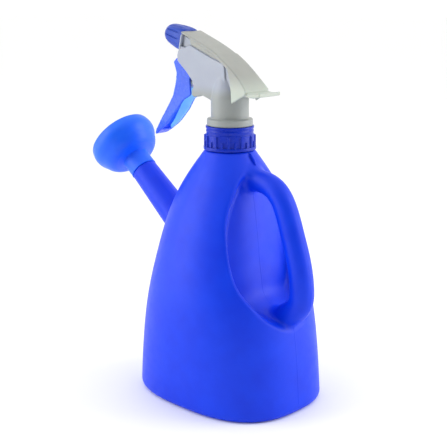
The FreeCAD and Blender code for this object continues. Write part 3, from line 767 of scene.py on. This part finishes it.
def body_field(x, y, z):
    """The body's side wall as a distance, roughly true near the wall."""
    a, b, n = HALF_LENGTH(z), HALF_WIDTH(z), EXPONENT(z)
    reach = np.maximum(np.hypot(x, y), 1e-6)
    level = np.maximum((np.abs(x) / b) ** n + (np.abs(y) / a) ** n, 1e-12) ** (1 / n)
    lean = (HALF_LENGTH(z + 1) - HALF_LENGTH(z - 1)) / 2
    return reach * (1 - 1 / level) / np.sqrt(1 + lean**2)


def make_bottle_field():
    """The whole bottle as one distance field in millimetres, without the neck."""
    outline = smooth_path(RECESS[:, [2, 0]], 90)
    loop = np.concatenate([outline, (outline * [-1, 1])[::-1]])

    def egg(u, v):
        gap, _ = to_path(u, v, np.concatenate([loop, loop[:1]]))
        return np.where(inside_loop(u, v, loop), -gap, gap)

    egg_table = Table(egg, (-60, 30), (60, 185), TABLE_STEP)
    handle_path = smooth_path(HANDLE_LINE, 60)
    handle_gap, handle_share = (
        Table(lambda u, v, k=k: to_path(u, v, handle_path)[k], (-10, 30), (90, 180), TABLE_STEP)
        for k in (0, 1)
    )
    floor = smooth_curve(RECESS[:, 0], RECESS[:, 1])
    c, s = math.cos(math.radians(SPOUT_ANGLE)), math.sin(math.radians(SPOUT_ANGLE))

    def field(x, y, z):
        body = body_field(x, y, z)
        f = overlap(body, -z, BOTTOM_EDGE_R)
        f = overlap(f, z - BODY_TOP_Z, BODY_TOP_EDGE_R)
        inner = np.maximum(body + FOOT_RING, z - FOOT_RECESS)
        f = without(f, inner, FOOT_RECESS_EDGE_R)
        depth = (floor(z) - x * x / (2 * RECESS_FLOOR_R) - y) / np.sqrt(1 + (x / RECESS_FLOOR_R) ** 2)
        lean = (floor(z + 1) - floor(z - 1)) / 2
        depth = depth / np.sqrt(1 + lean**2)
        recess = overlap(egg_table(x, z) + EDGE_INSET, depth, RECESS_CORNER_R)
        upper = ramp(z, TOP_LOW_Z, TOP_HIGH_Z)
        f = without(f, recess, RECESS_EDGE_R + upper)
        share = handle_share(y, z)
        handle_r = HANDLE_TOP_R + (HANDLE_LOW_R - HANDLE_TOP_R) * share
        handle = np.hypot(x, handle_gap(y, z)) - handle_r
        f = join(f, handle, HANDLE_FILLET_R + HANDLE_FILLET_GROWTH * upper)
        along = -(y - SPOUT_POINT[0]) * c + (z - SPOUT_POINT[1]) * s
        across = (y - SPOUT_POINT[0]) * s + (z - SPOUT_POINT[1]) * c
        spout = np.hypot(x, across) - (SPOUT_R + SPOUT_TAPER * (SPOUT_JOINT_T - along))
        spout = overlap(spout, along - SPOUT_JOINT_T, SPOUT_END_EDGE_R)
        spout = np.maximum(spout, SPOUT_ROOT_T - along)
        return join(f, spout, SPOUT_FILLET_R)

    return field


def make_neck():
    """The neck with its bore and thread, the spigot that the rose is pushed on, and the tail."""
    neck_profile = rounded_profile(
        [
            (NECK_ROOT_R, NECK_START_Z),
            (NECK_ROOT_R, NECK_TOP_Z),
            (NECK_BORE_R, NECK_TOP_Z),
            (NECK_BORE_R, NECK_START_Z),
        ],
        0.4,
    )
    neck = turned(neck_profile, 96)
    around = 96
    count = int(THREAD_TURNS * around)
    proud = NECK_CREST_R - NECK_ROOT_R
    section = [
        (-THREAD_SINK, -THREAD_ROOT_HALF),
        (proud, -THREAD_CREST_HALF),
        (proud, THREAD_CREST_HALF),
        (-THREAD_SINK, THREAD_ROOT_HALF),
    ]
    section = rounded_profile(section, 0.25, 2)
    points = []
    for i in range(count + 1):
        angle = 2 * math.pi * i / around
        fade = min(1.0, i / THREAD_FADE_STEPS, (count - i) / THREAD_FADE_STEPS)
        for out, rise in section:
            r = NECK_ROOT_R + (out if out < 0 else out * fade)
            height = THREAD_START_Z + THREAD_PITCH * i / around + rise
            points.append((r * math.cos(angle), r * math.sin(angle), height))
    wide = len(section)
    faces = []
    for i in range(count):
        for k in range(wide):
            m = (k + 1) % wide
            faces.append((i * wide + k, i * wide + m, (i + 1) * wide + m, (i + 1) * wide + k))
    thread = np.array(points), faces
    spigot_profile = rounded_profile(
        [
            (SPIGOT_R, SPOUT_JOINT_T - 3),
            (SPIGOT_R, SPIGOT_END_T),
            (SPIGOT_BORE_R, SPIGOT_END_T),
            (SPIGOT_BORE_R, SPOUT_JOINT_T - 3),
        ],
        0.3,
    )
    spigot = turned(spigot_profile, 64)
    spigot = aimed(spigot[0], *SPOUT_POINT, SPOUT_ANGLE), spigot[1]
    return merged(neck, thread, spigot, make_web())


def make_web():
    """The flat tail of pinched-off plastic between the neck and the top of the handle."""
    outline = rounded_profile(WEB_OUTLINE, 1.0)
    middle = outline.mean(axis=0)
    half_section = [(1.0, 0.24), (1.0, 0.07), (0.7, 0.0)]
    section = [(-side, shrink) for side, shrink in half_section] + half_section[::-1]
    rings = [
        np.column_stack([np.full(len(outline), WEB_HALF * side), outline + (middle - outline) * shrink])
        for side, shrink in section
    ]
    return stacked(rings)


def raise_seam(obj):
    """The fine ridge of the mould's parting line, on the mirror plane all round the bottle."""
    mesh = bmesh.new()
    mesh.from_mesh(obj.data)
    for x in (-SEAM_HALF, 0, SEAM_HALF):
        everything = [*mesh.verts, *mesh.edges, *mesh.faces]
        bmesh.ops.bisect_plane(mesh, geom=everything, plane_co=(x * MM, 0, 0), plane_no=(1, 0, 0), dist=1e-7)
    mesh.normal_update()
    for vertex in mesh.verts:
        if abs(vertex.co.x) < 0.02 * MM and vertex.co.z > SEAM_FROM_Z * MM:
            vertex.co += vertex.normal * SEAM_HEIGHT * MM
    mesh.to_mesh(obj.data)
    mesh.free()
    obj.data.shade_smooth()


def make_bottle():
    step = BOTTLE_STEP
    field = make_bottle_field()
    points, faces = level_surface(field, BOTTLE_GRID_LOW, BOTTLE_GRID_HIGH, step)
    bottle = mesh_object("bottle_body", points, faces, BOTTLE)
    raise_seam(bottle)
    stand_for(bottle, "bottle")
    neck = mesh_object("bottle_neck", *make_neck(), BOTTLE)
    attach(neck, "bottle")


make_bottle()

# ---------------------------------------------------------------- rose

SLEEVE_R = 9.45
SLEEVE_BORE_R = 7.95
ROSE_RIM_T = 29.56
ROSE_RIM_R = 23.0
ROSE_DEPTH = 20.8
ROSE_WALL = 1.5
DOME_ROOT_R = 9.2
DOME_POWER = 2.6
DOME_BULGE = 1.2
DOME_BULGE_END = 0.6
STOP_R = 6.35
STOP_GAP = 0.3
JOINT_GAP = 0.1


def dome_radius(share):
    """The dome's radius, from its rim at share 0 to its root on the sleeve at share 1."""
    bowl = (1 - share**DOME_POWER) ** (1 / DOME_POWER)
    bulge = DOME_BULGE * math.sin(math.pi * min(share / DOME_BULGE_END, 1))
    return DOME_ROOT_R + (ROSE_RIM_R - DOME_ROOT_R) * bowl + bulge


def make_rose():
    """The sleeve and dome in one turned shell, open at the rim where the perforated face sits."""
    root_t = ROSE_RIM_T - ROSE_DEPTH
    start_t = SPOUT_JOINT_T + JOINT_GAP
    stop_t = SPIGOT_END_T + STOP_GAP
    outer = [(SLEEVE_R + 0.15, start_t, 0.3), (SLEEVE_R, SPOUT_JOINT_T + 2.5)]
    for share in np.linspace(1, 0, 25):
        outer.append((dome_radius(share), ROSE_RIM_T - ROSE_DEPTH * share))
    outer[2] = (SLEEVE_R, root_t)
    inner = []
    for share in np.linspace(0, 1, 13):
        inner.append((dome_radius(share) - ROSE_WALL, ROSE_RIM_T - (ROSE_DEPTH - ROSE_WALL) * share))
    inner[-1] = (STOP_R, root_t + 1.3)
    inner += [(STOP_R, stop_t), (SLEEVE_BORE_R, stop_t), (SLEEVE_BORE_R, start_t)]
    profile = rounded_profile(outer + inner, 0.5, 3)
    points, faces = turned(profile, 128)
    rose = mesh_object("rose_dome", aimed(points, *SPOUT_POINT, SPOUT_ANGLE), faces, ROSE)
    stand_for(rose, "rose_shell")


make_rose()

# ---------------------------------------------------------------- closure

CAP_BOTTOM_Z = 165.0
CAP_RING_TOP_Z = 167.0
CAP_RIB_TOP_Z = 174.6
CAP_SHORT_RIB_TOP_Z = 170.8
CAP_TOP_Z = 180.1
CAP_RING_R = 17.0
CAP_BAND_R = 15.75
CAP_RIB_R = 16.7
CAP_UPPER_R = 15.2
CAP_LIP_R = 15.6
CAP_BORE_R = 14.0
CAP_WEB_Z = 178.65
CAP_WEB_BORE_R = 10.4
CAP_RIBS = 24
CAP_RIB_WIDTH = 1.3
CAP_FIRST_RIB = 40.7


def make_closure():
    """The screw cap: a plain ring, a band of long and short ribs, and a stepped upper part."""
    band = [(CAP_BAND_R, z) for z in np.arange(CAP_RING_TOP_Z + 0.5, CAP_RIB_TOP_Z - 0.2, 0.3)]
    outer = [
        (CAP_BORE_R, CAP_BOTTOM_Z, 0.2),
        (CAP_RING_R, CAP_BOTTOM_Z, 0.4),
        (CAP_RING_R, CAP_RING_TOP_Z, 0.5),
        (CAP_BAND_R, CAP_RING_TOP_Z + 0.2, 0.3),
        *band,
        (CAP_BAND_R, CAP_RIB_TOP_Z, 0.3),
        (CAP_UPPER_R, CAP_RIB_TOP_Z + 0.3, 0.3),
        (CAP_UPPER_R, CAP_TOP_Z - 3.6),
        (CAP_UPPER_R + 0.2, CAP_TOP_Z - 3.3, 0.15),
        (CAP_UPPER_R + 0.2, CAP_TOP_Z - 2.9, 0.15),
        (CAP_UPPER_R, CAP_TOP_Z - 2.6),
        (CAP_UPPER_R, CAP_TOP_Z - 1.6, 0.2),
        (CAP_LIP_R, CAP_TOP_Z - 1.3, 0.2),
        (CAP_LIP_R, CAP_TOP_Z, 0.4),
        (CAP_WEB_BORE_R, CAP_TOP_Z, 0.2),
        (CAP_WEB_BORE_R, CAP_WEB_Z, 0.2),
        (CAP_BORE_R, CAP_WEB_Z, 0.4),
    ]
    profile = rounded_profile(outer, 0.0, 3)

    def ribs(angle, height, radius):
        pitch = 2 * math.pi / CAP_RIBS
        turn = (angle - math.radians(CAP_FIRST_RIB)) / pitch
        number = np.round(turn)
        across = np.abs(turn - number) * pitch * CAP_RIB_R
        top = np.where(number.astype(int) % 2 == 0, CAP_RIB_TOP_Z - 0.1, CAP_SHORT_RIB_TOP_Z)
        side = 1 - ramp(across, CAP_RIB_WIDTH / 2 - 0.12, CAP_RIB_WIDTH / 2 + 0.12)
        end = 1 - ramp(height, top - 0.3, top)
        proud = (CAP_RIB_R - CAP_BAND_R) * side * end
        on_band = (height > CAP_RING_TOP_Z - 0.2) & (height < CAP_RIB_TOP_Z + 0.2)
        on_band &= radius > CAP_BAND_R - 0.3
        return np.where(on_band, np.maximum(radius, CAP_BAND_R + proud), radius)

    points, faces = turned(profile, 720, shape=ribs)
    cap = mesh_object("closure_ring", points, faces, CLOSURE)
    stand_for(cap, "closure_cap")


make_closure()

# ---------------------------------------------------------------- nozzle

PLATE_CENTRE = (-36.6, 232.3)
PLATE_TILT = 14.0
POST_R = 4.6
POST_LENGTH = 13.0
NOZZLE_LENGTH = 19.9
NOZZLE_GAP = 0.4
# distance along the axis, half size, superellipse exponent
NOZZLE_SECTIONS = np.array(
    [
        (NOZZLE_GAP, 7.3, 3.6),
        (3.0, 7.6, 3.4),
        (8.0, 7.5, 2.8),
        (13.3, 6.9, 2.3),
        (17.0, 6.0, 2.0),
        (18.9, 4.7, 2.0),
        (NOZZLE_LENGTH, 3.6, 2.0),
    ]
)
FLUTES = 12
FLUTE_DEPTH = 0.75
ORIFICE_R = 0.5
ORIFICE_CUP_R = 2.2
ORIFICE_CUP_DEPTH = 1.6
POST_GAP = 0.15


def make_nozzle():
    """The fluted knob, square at the plate and round at its tip, hollow for its post."""
    half = smooth_curve(NOZZLE_SECTIONS[:, 0], NOZZLE_SECTIONS[:, 1])
    power = smooth_curve(NOZZLE_SECTIONS[:, 0], NOZZLE_SECTIONS[:, 2])
    lengths = np.concatenate([np.arange(NOZZLE_GAP, 16.5, 0.5), np.linspace(16.5, NOZZLE_LENGTH, 14)])
    outer = [(float(half(t)), float(t)) for t in lengths]
    inner = [
        (ORIFICE_CUP_R, NOZZLE_LENGTH),
        (ORIFICE_R, NOZZLE_LENGTH - ORIFICE_CUP_DEPTH),
        (ORIFICE_R, POST_LENGTH + 3.0),
        (2.0, POST_LENGTH + POST_GAP),
        (POST_R + POST_GAP, POST_LENGTH + POST_GAP),
        (POST_R + POST_GAP, NOZZLE_GAP),
    ]
    profile = np.concatenate([outer, inner])
    outer_rows = len(outer)

    def fluted(angle, height, radius):
        n = power(height)
        square = radius / (np.abs(np.cos(angle)) ** n + np.abs(np.sin(angle)) ** n) ** (1 / n)
        wave = np.cos(FLUTES * angle)
        groove = ramp(wave, 0.55, 1.0) * FLUTE_DEPTH * ramp(height, 2.0, 6.0)
        outside = np.arange(len(profile))[:, None] < outer_rows
        return np.where(outside, square - groove, radius)

    points, faces = turned(profile, 288, shape=fluted)
    nozzle = mesh_object("nozzle_knob", aimed(points, *PLATE_CENTRE, PLATE_TILT), faces, NOZZLE)
    stand_for(nozzle, "nozzle_cap")


make_nozzle()

# ---------------------------------------------------------------- softened mouldings


SOFT_VOXEL = 0.4
SOFT_PASSES = 4
FLANGE_TOP_Z = 215.0


def softened(node, name, material):
    """A copy of a CAD node with its sharp edges rubbed round."""
    source = frame["nodes"][node]
    mesh = source.data.copy()
    mesh.name = name
    obj = bpy.data.objects.new(name, mesh)
    obj.matrix_world = source.matrix_world.copy()
    bpy.context.scene.collection.objects.link(obj)
    remesh = obj.modifiers.new("remesh", "REMESH")
    remesh.mode = "VOXEL"
    remesh.voxel_size = SOFT_VOXEL * MM
    remesh.use_smooth_shade = True
    smooth = obj.modifiers.new("smooth", "SMOOTH")
    smooth.factor = 0.5
    smooth.iterations = SOFT_PASSES
    bpy.context.view_layer.update()
    depsgraph = bpy.context.evaluated_depsgraph_get()
    final = bpy.data.meshes.new_from_object(obj.evaluated_get(depsgraph))
    obj.modifiers.clear()
    obj.data = final
    final.name = name
    final.shade_smooth()
    paint(obj, material)
    return stand_for(obj, node)


def paint_backlight_inside(obj, material):
    """Gives the inner faces of the trigger's flanges a paler material: painted light, standing in for thin
    plastic lit from behind.
    """
    obj.data.materials.append(material)
    for face in obj.data.polygons:
        x, _, z = face.center / MM
        if face.normal.x * x < -0.5 * abs(x) and z < FLANGE_TOP_Z:
            face.material_index = 1


def make_plates(name, outline, low, high):
    """A flat plate each side of the mirror plane, between two distances from it, inside the head."""
    outline = rounded_profile(outline, 1.0)
    count = len(outline)
    for end, side in (("right", 1), ("left", -1)):
        rings = [np.column_stack([np.full(count, side * x), outline]) for x in (high, low)]
        plate = mesh_object(name + "_" + end, *stacked(rings), HOUSING)
        plate.data.shade_flat()
        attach(plate, "sprayer")


# inner walls of the head, seen through the openings under the roof
LINING = [
    (-35.6, 227.2),
    (-29.0, 225.6),
    (-28.4, 215.0),
    (-23.0, 206.8),
    (-19.0, 205.4),
    (2.0, 205.0),
    (8.2, 206.0),
    (5.4, 214.0),
    (2.6, 219.0),
    (-8.8, 224.9),
    (-27.5, 232.6),
    (-34.6, 235.8),
]
# ledge behind the slit between the roof's skirt and the cheeks
LEDGE = [
    (-28.0, 229.2),
    (-8.9, 222.2),
    (2.6, 218.6),
    (4.2, 213.0),
    (5.0, 205.0),
    (9.6, 204.0),
    (8.4, 209.0),
    (5.8, 215.2),
    (3.6, 219.9),
    (-8.6, 223.8),
    (-27.3, 230.7),
]
softened("pump_housing", "sprayer_housing", HOUSING)
softened("shroud", "sprayer_shroud", SHROUD)
trigger = softened("trigger", "trigger_lever", TRIGGER)
# painted light on the inner faces of the trigger's flanges
paint_backlight_inside(trigger, TRIGGER_PAINTED_BACKLIGHT)
make_plates("head_lining", LINING, 6.15, 6.85)
make_plates("head_ledge", LEDGE, 6.2, 8.0)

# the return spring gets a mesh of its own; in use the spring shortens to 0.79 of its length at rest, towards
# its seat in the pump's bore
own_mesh(frame["nodes"]["return_spring"])
